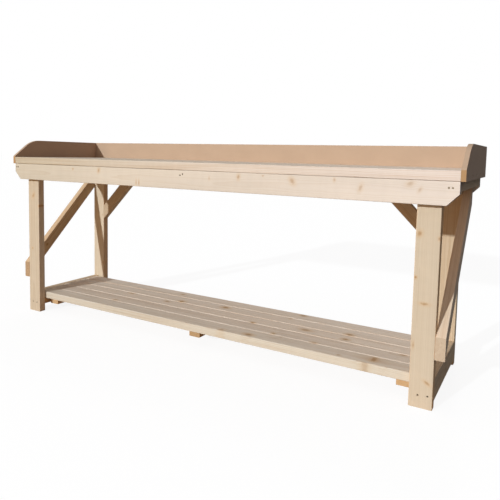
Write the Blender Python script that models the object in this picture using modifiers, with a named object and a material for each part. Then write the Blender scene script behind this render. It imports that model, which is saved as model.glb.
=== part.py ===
"""Planed softwood workbench with MDF back and side panels and a slatted shelf near the floor.

Units are metres. +X runs along the bench, +Y from its front to its back and +Z up.
The origin lies on the floor, under the middle of the whole bench.
"""

import math

import bmesh
import bpy
from mathutils import Vector

# Timber stock: one thickness, sold in two widths, with rounded long edges
STOCK_THICKNESS = 0.038
WIDE_STOCK = 0.089
NARROW_STOCK = 0.063
ARRIS_RADIUS = 0.003
ARRIS_SEGMENTS = 4

# Sheet stock
PANEL_THICKNESS = 0.018

# Whole bench
BENCH_LENGTH = 2.440
BENCH_HEIGHT = 0.910
WORKTOP_BOARDS = 7
CLEARANCE = 0.0003

# Aprons
APRON_CORNER_CUT = 0.044

# Side and back panels
PANEL_RISE = 0.100
PANEL_SLOPE_LIFT = 0.006
PANEL_SLOPE_RUN = 0.120
PANEL_FOOT_RADIUS = 0.012
PANEL_FOOT_STEPS = 6
PANEL_HEAD_RADIUS = 0.149
PANEL_HEAD_STEPS = 10

# Lower shelf
RAIL_FLOOR_GAP = 0.024
SLAT_GAP = 0.0025
SHELF_FRONT_GAP = 0.001
BEARER_SETBACK = 0.036
BEARER_LEG_GAP = 0.003

# Diagonal braces
END_BRACE_FOOT = 0.198
KNEE_BRACE_FOOT = 0.507
KNEE_BRACE_ANGLE = math.radians(45.0)

# Colours in linear light
PINE_COLOUR = (0.72, 0.59, 0.44, 1.0)
MDF_COLOUR = (0.60, 0.42, 0.28, 1.0)
PINE_ROUGHNESS = 0.62
MDF_ROUGHNESS = 0.78

# Levels, from the floor up
WORKTOP_UNDERSIDE = BENCH_HEIGHT - STOCK_THICKNESS
FRAME_TOP = WORKTOP_UNDERSIDE - CLEARANCE
TOP_RAIL_UNDERSIDE = FRAME_TOP - STOCK_THICKNESS
PANEL_TOP = BENCH_HEIGHT + PANEL_RISE
SHELF_TOP = RAIL_FLOOR_GAP + WIDE_STOCK
SLAT_UNDERSIDE = SHELF_TOP - STOCK_THICKNESS
BEARER_TOP = SLAT_UNDERSIDE - CLEARANCE

# Planes across the bench, from the front to the back
WORKTOP_DEPTH = WORKTOP_BOARDS * WIDE_STOCK + (WORKTOP_BOARDS - 1) * CLEARANCE
OVERALL_DEPTH = WORKTOP_DEPTH + CLEARANCE + PANEL_THICKNESS
FRONT = -OVERALL_DEPTH / 2.0
WORKTOP_BACK = FRONT + WORKTOP_DEPTH
PANEL_BACK = FRONT + OVERALL_DEPTH
LEG_FRONT = FRONT + STOCK_THICKNESS + CLEARANCE
LEG_BACK = WORKTOP_BACK - STOCK_THICKNESS - CLEARANCE
BETWEEN_LEGS_FRONT = LEG_FRONT + STOCK_THICKNESS
BETWEEN_LEGS_BACK = LEG_BACK - STOCK_THICKNESS
MIDDLE_DEPTH = (LEG_FRONT + LEG_BACK) / 2.0

# Planes along the bench, as distances from its middle
BENCH_END = BENCH_LENGTH / 2.0
LEG_OUTSIDE = BENCH_END - NARROW_STOCK - CLEARANCE
LEG_INSIDE = LEG_OUTSIDE - WIDE_STOCK
RAIL_INSIDE = LEG_OUTSIDE - STOCK_THICKNESS
SLAT_END = RAIL_INSIDE - CLEARANCE


def both_sides():
    """Return the name of each end of the bench with its direction along X."""
    return (("left", -1.0), ("right", 1.0))


def clear_scene():
    """Remove every object of the scene that the script starts in."""
    for scene_object in list(bpy.data.objects):
        bpy.data.objects.remove(scene_object, do_unlink=True)


def new_collection(name):
    """Make a collection in the scene and return it."""
    collection = bpy.data.collections.new(name)
    bpy.context.scene.collection.children.link(collection)
    return collection


def new_material(name, colour, roughness):
    """Make a plain material for one piece."""
    material = bpy.data.materials.new(name)
    material.use_nodes = True
    shader = material.node_tree.nodes["Principled BSDF"]
    shader.inputs["Base Color"].default_value = colour
    shader.inputs["Roughness"].default_value = roughness
    shader.inputs["Metallic"].default_value = 0.0
    material.diffuse_color = colour
    return material


def box_mesh(name, size):
    """Return a mesh of a box of the given size about its own origin, with the scale applied."""
    mesh = bpy.data.meshes.new(name)
    shape = bmesh.new()
    bmesh.ops.create_cube(shape, size=1.0)
    bmesh.ops.scale(shape, vec=Vector(size), verts=shape.verts)
    shape.to_mesh(mesh)
    shape.free()
    return mesh


def mark_long_edges(mesh, axis):
    """Give full bevel weight to the edges that run along one axis of the mesh."""
    weights = mesh.attributes.new("bevel_weight_edge", "FLOAT", "EDGE")
    for edge in mesh.edges:
        start, end = (mesh.vertices[index].co for index in edge.vertices)
        along = (end - start).normalized()
        weights.data[edge.index].value = 1.0 if abs(along[axis]) > 0.99 else 0.0


class Bench:
    """The bench's collections and root, with the tools that make its pieces."""

    def __init__(self):
        self.parts = new_collection("workbench")
        self.cutters = new_collection("workbench_saw_cuts")
        self.root = bpy.data.objects.new("workbench_root", None)
        self.parts.objects.link(self.root)

    def add(self, piece, material):
        """Put a finished piece in the parts collection, under the root."""
        piece.data.materials.append(material)
        piece.parent = self.root
        self.parts.objects.link(piece)
        return piece

    def timber(self, name, size, centre, grain, turn=(0.0, 0.0, 0.0)):
        """Add a length of planed timber whose long edges, along the grain, are rounded."""
        mesh = box_mesh(name, size)
        mark_long_edges(mesh, "XYZ".index(grain))
        piece = bpy.data.objects.new(name, mesh)
        piece.location = centre
        piece.rotation_euler = turn
        arris = piece.modifiers.new("Rounded arrises", "BEVEL")
        arris.width = ARRIS_RADIUS
        arris.segments = ARRIS_SEGMENTS
        arris.limit_method = "WEIGHT"
        return self.add(piece, new_material(name + "_pine", PINE_COLOUR, PINE_ROUGHNESS))

    def saw(self, piece, point, normal):
        """Saw off what lies beyond the cut through a point, on the side its normal points to."""
        reach = 3.0 * WIDE_STOCK
        waste = bpy.data.objects.new(piece.name + "_waste", box_mesh("waste", (reach, reach, reach)))
        waste.location = Vector(point) + Vector(normal).normalized() * reach / 2.0
        waste.rotation_euler = Vector(normal).to_track_quat("Z", "Y").to_euler()
        waste.hide_render = True
        waste.display_type = "WIRE"
        self.cutters.objects.link(waste)
        cut = piece.modifiers.new("Saw cut", "BOOLEAN")
        cut.operation = "DIFFERENCE"
        cut.solver = "EXACT"
        cut.object = waste

    def side_panel(self, name, outline, side):
        """Add an MDF end panel: an outline in depth and height, as thick as the sheet."""
        sheet = bpy.data.curves.new(name, "CURVE")
        sheet.dimensions = "2D"
        sheet.fill_mode = "BOTH"
        sheet.extrude = PANEL_THICKNESS / 2.0
        edge = sheet.splines.new("POLY")
        edge.points.add(len(outline) - 1)
        for point, (depth, height) in zip(edge.points, outline):
            point.co = (depth, height, 0.0, 1.0)
        edge.use_cyclic_u = True
        panel = bpy.data.objects.new(name, sheet)
        panel.location.x = side * (BENCH_END + CLEARANCE + PANEL_THICKNESS / 2.0)
        panel.rotation_euler = (math.pi / 2.0, 0.0, math.pi / 2.0)
        return self.add(panel, new_material(name + "_mdf", MDF_COLOUR, MDF_ROUGHNESS))

    def flat_panel(self, name, size, centre):
        """Add a plain MDF board."""
        panel = bpy.data.objects.new(name, box_mesh(name, size))
        panel.location = centre
        return self.add(panel, new_material(name + "_mdf", MDF_COLOUR, MDF_ROUGHNESS))


def rounded_corner(before, corner, after, radius, steps):
    """Return the points of an arc that rounds one corner of an outline."""
    corner = Vector(corner)
    towards_before = (Vector(before) - corner).normalized()
    towards_after = (Vector(after) - corner).normalized()
    half_angle = towards_before.angle(towards_after) / 2.0
    centre = corner + (towards_before + towards_after).normalized() * radius / math.sin(half_angle)
    start = (corner + towards_before * radius / math.tan(half_angle) - centre).normalized()
    end = (corner + towards_after * radius / math.tan(half_angle) - centre).normalized()
    return [centre + radius * start.slerp(end, step / steps) for step in range(steps + 1)]


def panel_outline():
    """Return a side panel's outline: upright front edge, slope, broad bend, level top and back."""
    front_bottom = (FRONT, WORKTOP_UNDERSIDE)
    slope_foot = (FRONT, BENCH_HEIGHT + PANEL_SLOPE_LIFT)
    slope_head = (FRONT + PANEL_SLOPE_RUN, PANEL_TOP)
    back_top = (PANEL_BACK, PANEL_TOP)
    back_bottom = (PANEL_BACK, WORKTOP_UNDERSIDE)
    foot_arc = rounded_corner(front_bottom, slope_foot, slope_head, PANEL_FOOT_RADIUS, PANEL_FOOT_STEPS)
    head_arc = rounded_corner(slope_foot, slope_head, back_top, PANEL_HEAD_RADIUS, PANEL_HEAD_STEPS)
    return [front_bottom, *foot_arc, *head_arc, back_top, back_bottom]


def end_brace_angle(run, rise):
    """Return the slope of a brace that fills a run and a rise between upright end cuts.

    Along the slope a, run * tan(a) + width / cos(a) = rise.
    """
    diagonal = math.hypot(run, rise)
    return math.acos(NARROW_STOCK / diagonal) - math.atan2(run, rise)


def build_worktop(bench):
    """Lay the worktop boards side by side along the bench."""
    for index in range(WORKTOP_BOARDS):
        depth = FRONT + WIDE_STOCK / 2.0 + index * (WIDE_STOCK + CLEARANCE)
        centre = (0.0, depth, BENCH_HEIGHT - STOCK_THICKNESS / 2.0)
        size = (BENCH_LENGTH, WIDE_STOCK, STOCK_THICKNESS)
        bench.timber(f"worktop_board_{index + 1}", size, centre, "X")


def build_aprons(bench):
    """Stand the front and back aprons on edge and saw off their lower corners."""
    height = FRAME_TOP - WIDE_STOCK / 2.0
    depths = {
        "front_apron": FRONT + STOCK_THICKNESS / 2.0,
        "back_apron": WORKTOP_BACK - STOCK_THICKNESS / 2.0,
    }
    for name, depth in depths.items():
        size = (BENCH_LENGTH, STOCK_THICKNESS, WIDE_STOCK)
        apron = bench.timber(name, size, (0.0, depth, height), "X")
        for _, side in both_sides():
            half_cut = APRON_CORNER_CUT / 2.0
            middle = (side * (BENCH_END - half_cut), depth, FRAME_TOP - WIDE_STOCK + half_cut)
            bench.saw(apron, middle, (side, 0.0, -1.0))


def build_top_rails(bench):
    """Lay the cross rails flat between the aprons, at both ends and in the middle."""
    size = (NARROW_STOCK, LEG_BACK - LEG_FRONT, STOCK_THICKNESS)
    height = FRAME_TOP - STOCK_THICKNESS / 2.0
    places = {name: side * (BENCH_END - NARROW_STOCK / 2.0) for name, side in both_sides()}
    places["middle"] = 0.0
    for name, place in places.items():
        bench.timber(f"{name}_top_rail", size, (place, MIDDLE_DEPTH, height), "Y")


def build_legs(bench):
    """Stand four legs inside the aprons, wide face to the front."""
    depths = {
        "front": LEG_FRONT + STOCK_THICKNESS / 2.0,
        "back": LEG_BACK - STOCK_THICKNESS / 2.0,
    }
    for row, depth in depths.items():
        for name, side in both_sides():
            centre = (side * (LEG_OUTSIDE - WIDE_STOCK / 2.0), depth, FRAME_TOP / 2.0)
            size = (WIDE_STOCK, STOCK_THICKNESS, FRAME_TOP)
            bench.timber(f"{row}_{name}_leg", size, centre, "Z")


def build_bottom_rails(bench):
    """Set a rail on edge between the feet of each end, with a ledger for the slats beside it."""
    length = BETWEEN_LEGS_BACK - BETWEEN_LEGS_FRONT - 2.0 * CLEARANCE
    for name, side in both_sides():
        rail_place = side * (LEG_OUTSIDE - STOCK_THICKNESS / 2.0)
        rail_height = RAIL_FLOOR_GAP + WIDE_STOCK / 2.0
        rail_size = (STOCK_THICKNESS, length, WIDE_STOCK)
        bench.timber(f"{name}_bottom_rail", rail_size, (rail_place, MIDDLE_DEPTH, rail_height), "Y")
        ledger_place = side * (RAIL_INSIDE - CLEARANCE - STOCK_THICKNESS / 2.0)
        ledger_height = BEARER_TOP - STOCK_THICKNESS / 2.0
        ledger_size = (STOCK_THICKNESS, length, STOCK_THICKNESS)
        ledger_centre = (ledger_place, MIDDLE_DEPTH, ledger_height)
        bench.timber(f"{name}_shelf_ledger", ledger_size, ledger_centre, "Y")


def build_shelf(bench):
    """Lay as many slats as fit behind the front legs, on the ledgers and three flat bearers."""
    front = BETWEEN_LEGS_FRONT + SHELF_FRONT_GAP
    pitch = WIDE_STOCK + SLAT_GAP
    slats = int((BETWEEN_LEGS_BACK - CLEARANCE - front + SLAT_GAP) / pitch)
    for index in range(slats):
        centre = (0.0, front + WIDE_STOCK / 2.0 + index * pitch, SHELF_TOP - STOCK_THICKNESS / 2.0)
        size = (2.0 * SLAT_END, WIDE_STOCK, STOCK_THICKNESS)
        bench.timber(f"shelf_slat_{index + 1}", size, centre, "X")
    shelf_depth = slats * pitch - SLAT_GAP
    bearer_size = (NARROW_STOCK, shelf_depth - 2.0 * BEARER_SETBACK, STOCK_THICKNESS)
    bearer_end = LEG_INSIDE - BEARER_LEG_GAP - NARROW_STOCK / 2.0
    places = {"left": -bearer_end, "middle": 0.0, "right": bearer_end}
    for name, place in places.items():
        centre = (place, front + shelf_depth / 2.0, BEARER_TOP - STOCK_THICKNESS / 2.0)
        bench.timber(f"shelf_bearer_{name}", bearer_size, centre, "Y")


def build_end_braces(bench):
    """Fix a diagonal to the outside of each end frame, from the front leg to the top rail."""
    run = LEG_BACK - LEG_FRONT
    rise = TOP_RAIL_UNDERSIDE - CLEARANCE - END_BRACE_FOOT
    angle = end_brace_angle(run, rise)
    half_cut = NARROW_STOCK / math.cos(angle) / 2.0
    stick = (STOCK_THICKNESS, math.hypot(run, rise) + NARROW_STOCK, NARROW_STOCK)
    for name, side in both_sides():
        place = side * (LEG_OUTSIDE + CLEARANCE + STOCK_THICKNESS / 2.0)
        centre = (place, MIDDLE_DEPTH, END_BRACE_FOOT + rise / 2.0)
        brace = bench.timber(f"{name}_end_brace", stick, centre, "Y", (angle, 0.0, 0.0))
        foot = (place, LEG_FRONT, END_BRACE_FOOT + half_cut)
        head = (place, LEG_BACK, END_BRACE_FOOT + rise - half_cut)
        bench.saw(brace, foot, (0.0, -1.0, 0.0))
        bench.saw(brace, head, (0.0, 1.0, 0.0))


def build_knee_braces(bench):
    """Fix a short diagonal from each back leg up to the worktop, against the back apron."""
    depth = LEG_BACK - STOCK_THICKNESS / 2.0
    foot = LEG_INSIDE - CLEARANCE
    foot_height = KNEE_BRACE_FOOT + NARROW_STOCK / math.cos(KNEE_BRACE_ANGLE) / 2.0
    rise = FRAME_TOP - foot_height
    run = rise / math.tan(KNEE_BRACE_ANGLE)
    stick = (math.hypot(run, rise) + 3.0 * NARROW_STOCK, STOCK_THICKNESS, NARROW_STOCK)
    for name, side in both_sides():
        middle = (side * (foot - run / 2.0), depth, (foot_height + FRAME_TOP) / 2.0)
        turn = (0.0, side * KNEE_BRACE_ANGLE, 0.0)
        knee = bench.timber(f"{name}_knee_brace", stick, middle, "X", turn)
        bench.saw(knee, (side * foot, depth, foot_height), (side, 0.0, 0.0))
        bench.saw(knee, (side * (foot - run), depth, FRAME_TOP), (0.0, 0.0, 1.0))


def build_panels(bench):
    """Close the worktop's ends and back with MDF panels."""
    outline = panel_outline()
    for name, side in both_sides():
        bench.side_panel(f"{name}_side_panel", outline, side)
    size = (BENCH_LENGTH, PANEL_THICKNESS, PANEL_TOP - WORKTOP_UNDERSIDE)
    depth = PANEL_BACK - PANEL_THICKNESS / 2.0
    centre = (0.0, depth, (PANEL_TOP + WORKTOP_UNDERSIDE) / 2.0)
    bench.flat_panel("back_panel", size, centre)


def main():
    """Build the whole bench."""
    clear_scene()
    bench = Bench()
    build_legs(bench)
    build_aprons(bench)
    build_top_rails(bench)
    build_worktop(bench)
    build_panels(bench)
    build_bottom_rails(bench)
    build_shelf(bench)
    build_end_braces(bench)
    build_knee_braces(bench)


main()
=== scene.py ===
"""Looks of a long workbench of planed softwood with MDF panels and a slatted shelf near the floor.

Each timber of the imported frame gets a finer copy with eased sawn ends, sunk screw holes and its own
cut of pine figure. The front board's lower arris is a little uneven, and the slats' front arrises are
rounded over further. The MDF panels get a fibrous face and a darker sawn edge, and the heads of the
wood screws sit in their holes. Sizes are in metres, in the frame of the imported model.
"""

from __future__ import annotations

import logging
import math
import random
from dataclasses import dataclass, field
from enum import Enum
from typing import Iterable, Optional, Sequence, Union

import bmesh
import bpy
from bmesh.types import BMesh
from bpy.types import ID, Material, Mesh, Node, NodeSocket, NodeTree, Object
from mathutils import Matrix, Vector, noise


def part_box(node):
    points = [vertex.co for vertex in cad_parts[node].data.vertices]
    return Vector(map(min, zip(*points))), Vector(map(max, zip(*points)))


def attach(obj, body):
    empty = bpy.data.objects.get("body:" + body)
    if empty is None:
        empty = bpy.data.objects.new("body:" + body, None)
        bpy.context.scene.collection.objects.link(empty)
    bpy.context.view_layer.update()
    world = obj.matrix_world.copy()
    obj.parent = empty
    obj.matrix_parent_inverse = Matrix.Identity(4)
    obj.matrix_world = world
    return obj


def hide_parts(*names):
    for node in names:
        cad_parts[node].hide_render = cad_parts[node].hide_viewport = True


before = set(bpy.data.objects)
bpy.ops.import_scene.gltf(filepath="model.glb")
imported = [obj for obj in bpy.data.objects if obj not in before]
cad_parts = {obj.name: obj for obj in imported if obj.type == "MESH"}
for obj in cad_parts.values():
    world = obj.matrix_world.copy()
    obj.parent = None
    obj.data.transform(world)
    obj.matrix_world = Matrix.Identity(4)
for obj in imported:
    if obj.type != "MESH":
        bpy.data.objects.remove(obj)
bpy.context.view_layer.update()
BODY = "root"
LOG = logging.getLogger("workbench")

Triple = tuple[float, float, float]
Colour = Triple
Run = tuple[float, float]
Rows = tuple[tuple[float, ...], ...]
Feed = Union[float, Sequence[float], NodeSocket]
Key = Union[str, int]

PLAIN: Colour = (1.0, 1.0, 1.0)
ACROSS = math.pi / 2.0

# Widths that the timber is sold in
WIDE_STOCK = 0.089
NARROW_STOCK = 0.063

# How the copies of the CAD solids are cleaned, eased and shaded
MERGED_WITHIN = 2e-5
CUT_WITHIN = 1e-6
FLAT_BELOW = math.radians(0.5)
EASED_ABOVE = math.radians(40.0)
SHARP_ABOVE = math.radians(32.0)
TIMBER_EASING = 0.0006
PANEL_EASING = 0.0005
LARGE_FACE = 4e-4
FACE_WEIGHT = 100

# How squarely a face must look along the grain to be sawn, and along the width to be a narrow side that
# gets painted light and shade
SAWN_STEP: Run = (0.45, 0.60)
PAINTED_SIDE_STEP: Run = (0.30, 0.90)


class Side(Enum):
    """An end of the bench, with its direction along X."""

    LEFT = -1.0
    RIGHT = 1.0

    @property
    def word(self) -> str:
        """Name of the end as it stands in the names of the pieces."""
        return self.name.lower()


class Lie(Enum):
    """How a straight timber lies: the axes of its grain, its width and its thickness."""

    FLAT_ALONG = ((1, 0, 0), (0, 1, 0), (0, 0, 1))
    EDGE_ALONG = ((1, 0, 0), (0, 0, 1), (0, -1, 0))
    FLAT_ACROSS = ((0, 1, 0), (-1, 0, 0), (0, 0, 1))
    EDGE_ACROSS = ((0, 1, 0), (0, 0, 1), (1, 0, 0))
    UPRIGHT = ((0, 0, 1), (1, 0, 0), (0, 1, 0))


class Slot(Enum):
    """Material slots of the record."""

    PINE = "pine"
    MDF = "mdf"
    STEEL = "screw_steel"


@dataclass(frozen=True)
class Grain:
    """A noise: its count of grains in a metre along each axis, and its finer layers."""

    counts: Triple
    layers: float = 2.0


class NodeSheet:
    """Short calls that add nodes to one tree and link them."""

    # Where a Mix node has its amount and colours, and which vector operations make a number
    MIX_INPUTS = (0, 6, 7)
    MIX_OUTPUT = 2
    NUMBERS = {"DOT_PRODUCT", "LENGTH"}

    def __init__(self, tree: NodeTree) -> None:
        """Keep the tree that the nodes go into."""
        self.tree = tree

    def feed(self, socket: NodeSocket, value: Feed) -> None:
        """Link a socket to an output, or set its value.

        Args:
            socket: the input to feed.
            value: an output socket, a number, a vector or a colour.
        """
        if isinstance(value, NodeSocket):
            self.tree.links.new(value, socket)
        elif socket.type == "RGBA" and len(value) == 3:
            socket.default_value = (*value, 1.0)
        else:
            socket.default_value = value

    def node(
        self, kind: str, *values: Feed, inputs: Optional[dict[Key, Feed]] = None, **settings: object
    ) -> Node:
        """Add a node and feed it.

        Args:
            kind: Blender's name of the node type.
            values: what its first inputs are fed, in order.
            inputs: what other inputs are fed, by their names or numbers.
            settings: properties of the node to set.

        Returns:
            The new node.
        """
        made = self.tree.nodes.new(kind)
        for name, value in settings.items():
            setattr(made, name, value)
        for socket, value in zip(made.inputs, values):
            self.feed(socket, value)
        for key, value in (inputs or {}).items():
            self.feed(made.inputs[key], value)
        return made

    def math(self, operation: str, *values: Feed) -> NodeSocket:
        """Return what a Math node makes of some numbers."""
        return self.node("ShaderNodeMath", *values, operation=operation).outputs[0]

    def times(self, first: Feed, second: Feed) -> NodeSocket:
        """Return the product of two numbers."""
        return self.math("MULTIPLY", first, second)

    def vector(self, operation: str, *values: Feed) -> NodeSocket:
        """Return what a Vector Math node makes of some vectors."""
        made = self.node("ShaderNodeVectorMath", *values, operation=operation)
        return made.outputs["Value" if operation in self.NUMBERS else "Vector"]

    def split(self, value: Feed) -> tuple[NodeSocket, ...]:
        """Return the three numbers of a vector."""
        return tuple(self.node("ShaderNodeSeparateXYZ", value).outputs)

    def join(self, x: Feed, y: Feed, z: Feed) -> NodeSocket:
        """Return a vector of three numbers."""
        return self.node("ShaderNodeCombineXYZ", x, y, z).outputs[0]

    def noise(self, place: Feed, grain: Grain) -> Node:
        """Return a noise node whose grains are stretched."""
        stretched = self.vector("MULTIPLY", place, grain.counts)
        return self.node("ShaderNodeTexNoise", stretched, inputs={"Scale": 1.0, "Detail": grain.layers})

    def speckle(self, place: Feed, grain: Grain) -> NodeSocket:
        """Return the grey of a noise, from 0 to 1."""
        return self.noise(place, grain).outputs["Fac"]

    def sway(self, place: Feed, grain: Grain, reach: float) -> NodeSocket:
        """Return a vector that wanders with the place by up to half the reach."""
        centred = self.vector("SUBTRACT", self.noise(place, grain).outputs["Color"], (0.5, 0.5, 0.5))
        return self.vector("MULTIPLY", centred, (reach, reach, reach))

    def smooth(self, value: Feed, step: Run, ends: Run = (0.0, 1.0)) -> NodeSocket:
        """Return a soft step of a value, from one end to the other."""
        made = self.node("ShaderNodeMapRange", value, *step, *ends, interpolation_type="SMOOTHSTEP")
        return made.outputs[0]

    def spread(self, value: Feed, ends: Run) -> NodeSocket:
        """Return a value between 0 and 1 stretched to run from one end to the other."""
        return self.node("ShaderNodeMapRange", value, 0.0, 1.0, *ends).outputs[0]

    def ramp(self, value: Feed, stops: Sequence[Run]) -> NodeSocket:
        """Return a grey ramp of a value.

        Args:
            value: where the ramp is read, from 0 to 1.
            stops: the place and the grey of each stop.

        Returns:
            The ramp's colour.
        """
        made = self.node("ShaderNodeValToRGB", value)
        elements = made.color_ramp.elements
        while len(elements) < len(stops):
            elements.new(1.0)
        for element, (place, grey) in zip(elements, stops):
            element.position = place
            element.color = (grey, grey, grey, 1.0)
        return made.outputs["Color"]

    def blend(self, mode: str, amount: Feed, first: Feed, second: Feed) -> NodeSocket:
        """Mix two colours.

        Args:
            mode: one of Blender's blend modes.
            amount: how much the second colour counts.
            first: the colour below.
            second: the colour on top.

        Returns:
            The mixed colour.
        """
        inputs = dict(zip(self.MIX_INPUTS, (amount, first, second)))
        made = self.node("ShaderNodeMix", data_type="RGBA", blend_type=mode, inputs=inputs)
        return made.outputs[self.MIX_OUTPUT]

    def group(self, tree: NodeTree, **values: Feed) -> Node:
        """Return a node of a group, fed by the names of its inputs with _ for each space."""
        inputs = {name.replace("_", " "): value for name, value in values.items()}
        return self.node("ShaderNodeGroup", node_tree=tree, inputs=inputs)

    def object_place(self) -> NodeSocket:
        """Return the Object coordinates of the surface."""
        return self.node("ShaderNodeTexCoord").outputs["Object"]

    def squareness(self, direction: Sequence[float]) -> NodeSocket:
        """Return how squarely the surface looks along a direction, from 0 to 1."""
        normal = self.node("ShaderNodeNewGeometry").outputs["Normal"]
        return self.math("ABSOLUTE", self.vector("DOT_PRODUCT", normal, direction))


class GroupSheet(NodeSheet):
    """A node group with named sockets."""

    SURFACE = {"Colour": "Color", "Roughness": "Float", "Height": "Float"}

    def __init__(
        self, name: str, inputs: dict[str, str], outputs: dict[str, str], kind: str = "ShaderNodeTree"
    ) -> None:
        """Make the group with its sockets.

        Args:
            name: name of the group.
            inputs: names of its inputs, with Blender's names of their types.
            outputs: the same, for what the group puts out.
            kind: Blender's name of the tree type.
        """
        super().__init__(bpy.data.node_groups.new(name, kind))
        for direction, sockets in (("INPUT", inputs), ("OUTPUT", outputs)):
            for socket, content in sockets.items():
                socket_type = f"NodeSocket{content}"
                self.tree.interface.new_socket(socket, in_out=direction, socket_type=socket_type)
        self.given = self.node("NodeGroupInput").outputs
        self.result = self.node("NodeGroupOutput").inputs


class MaterialSheet(NodeSheet):
    """The nodes of one new material, with the inputs of its Principled shader."""

    def __init__(self, name: str) -> None:
        """Make the material.

        Args:
            name: name of the material.
        """
        self.material = bpy.data.materials.new(name)
        self.material.use_nodes = True
        super().__init__(self.material.node_tree)
        self.shader = self.tree.nodes["Principled BSDF"].inputs

    def coat(self, colour: Feed, figure: Node, finish: Union[PineFinish, FibreboardFinish]) -> None:
        """Feed the shader a colour, and the roughness and relief of a figure.

        Args:
            colour: the surface's colour.
            figure: a group node that puts out Roughness and Height.
            finish: the finish that knows the specular level and the relief.
        """
        relief = {"Strength": finish.relief_strength, "Distance": finish.relief}
        bump = self.node("ShaderNodeBump", inputs={**relief, "Height": figure.outputs["Height"]})
        self.feed(self.shader["Base Color"], colour)
        self.feed(self.shader["Roughness"], figure.outputs["Roughness"])
        self.feed(self.shader["Specular IOR Level"], finish.specular)
        self.feed(self.shader["Normal"], bump.outputs["Normal"])


@dataclass(frozen=True)
class PineFigure:
    """Growth rings, fibres and tints of pine, read along, across and through a board."""

    seed_slant: float = 0.37
    bend: Grain = Grain((0.9, 5.0, 5.0), 1.5)
    bend_reach: float = 0.024
    ripple: Grain = Grain((7.0, 38.0, 38.0))
    ripple_reach: float = 0.0028
    ring_profile: tuple[Run, ...] = ((0.0, 0.05), (0.40, 0.14), (0.84, 0.80), (0.94, 1.0), (1.0, 0.05))
    ring_strength: Run = (0.25, 1.0)
    ring_roughness: Run = (0.88, 0.76)
    ring_relief: float = 0.6
    streak: Grain = Grain((1.6, 150.0, 150.0), 3.0)
    streak_step: Run = (0.45, 0.75)
    fibre: Grain = Grain((22.0, 1300.0, 1300.0))
    fibre_light: Run = (0.95, 1.05)
    fibre_roughness: Run = (-0.05, 0.05)
    fibre_relief: float = 0.5
    cloud: Grain = Grain((1.1, 10.0, 10.0))
    cloud_light: Run = (0.91, 1.09)
    curl: Grain = Grain((34.0, 9.0, 9.0))
    curl_light: Run = (0.96, 1.04)

    def group(self) -> NodeTree:
        """Make the shader group.

        Returns:
            A group that reads a place in a board and the place of the tree's pith, and puts out the
            wood's colour, roughness and height.
        """
        inputs = {
            "Place": "Vector", "Seed": "Float", "Pith": "Vector", "Ring gap": "Float",
            "Early wood": "Color", "Late wood": "Color", "Streaks": "Float", "Drift": "Vector",
        }
        sheet = GroupSheet("pine_figure", inputs, GroupSheet.SURFACE)
        given, result = sheet.given, sheet.result
        seed = given["Seed"]
        shift = sheet.join(seed, sheet.times(seed, self.seed_slant), 0.0)
        place = sheet.vector("ADD", given["Place"], shift)
        from_pith = sheet.vector("SUBTRACT", given["Place"], given["Pith"])
        bent = sheet.vector("ADD", from_pith, sheet.sway(place, self.bend, self.bend_reach))
        moved = sheet.vector("ADD", bent, sheet.sway(place, self.ripple, self.ripple_reach))
        radius = sheet.vector("LENGTH", sheet.vector("MULTIPLY", moved, (0.0, 1.0, 1.0)))
        rings = sheet.math("DIVIDE", radius, given["Ring gap"])
        number = sheet.math("ADD", sheet.math("FLOOR", rings), seed)
        chance = sheet.node("ShaderNodeTexWhiteNoise", noise_dimensions="1D", inputs={"W": number})
        strength = sheet.spread(chance.outputs["Value"], self.ring_strength)
        late = sheet.times(sheet.ramp(sheet.math("FRACT", rings), self.ring_profile), strength)
        wood = sheet.blend("MIX", late, given["Early wood"], given["Late wood"])
        streak = sheet.smooth(sheet.speckle(place, self.streak), self.streak_step)
        wood = sheet.blend("MIX", sheet.times(streak, given["Streaks"]), wood, given["Late wood"])
        fibre = sheet.speckle(place, self.fibre)
        light = sheet.spread(sheet.speckle(place, self.cloud), self.cloud_light)
        light = sheet.times(light, sheet.spread(fibre, self.fibre_light))
        light = sheet.times(light, sheet.spread(sheet.speckle(place, self.curl), self.curl_light))
        along, _, _ = sheet.split(given["Place"])
        drift = sheet.vector("MULTIPLY_ADD", sheet.join(along, along, along), given["Drift"], PLAIN)
        shade = sheet.vector("MULTIPLY", sheet.join(light, light, light), drift)
        sheet.feed(result["Colour"], sheet.blend("MULTIPLY", 1.0, wood, shade))
        dull = sheet.spread(late, self.ring_roughness)
        coarse = sheet.spread(fibre, self.fibre_roughness)
        sheet.feed(result["Roughness"], sheet.math("ADD", dull, coarse))
        ridge = sheet.times(late, self.ring_relief)
        sheet.feed(result["Height"], sheet.math("ADD", ridge, sheet.times(fibre, self.fibre_relief)))
        return sheet.tree


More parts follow.
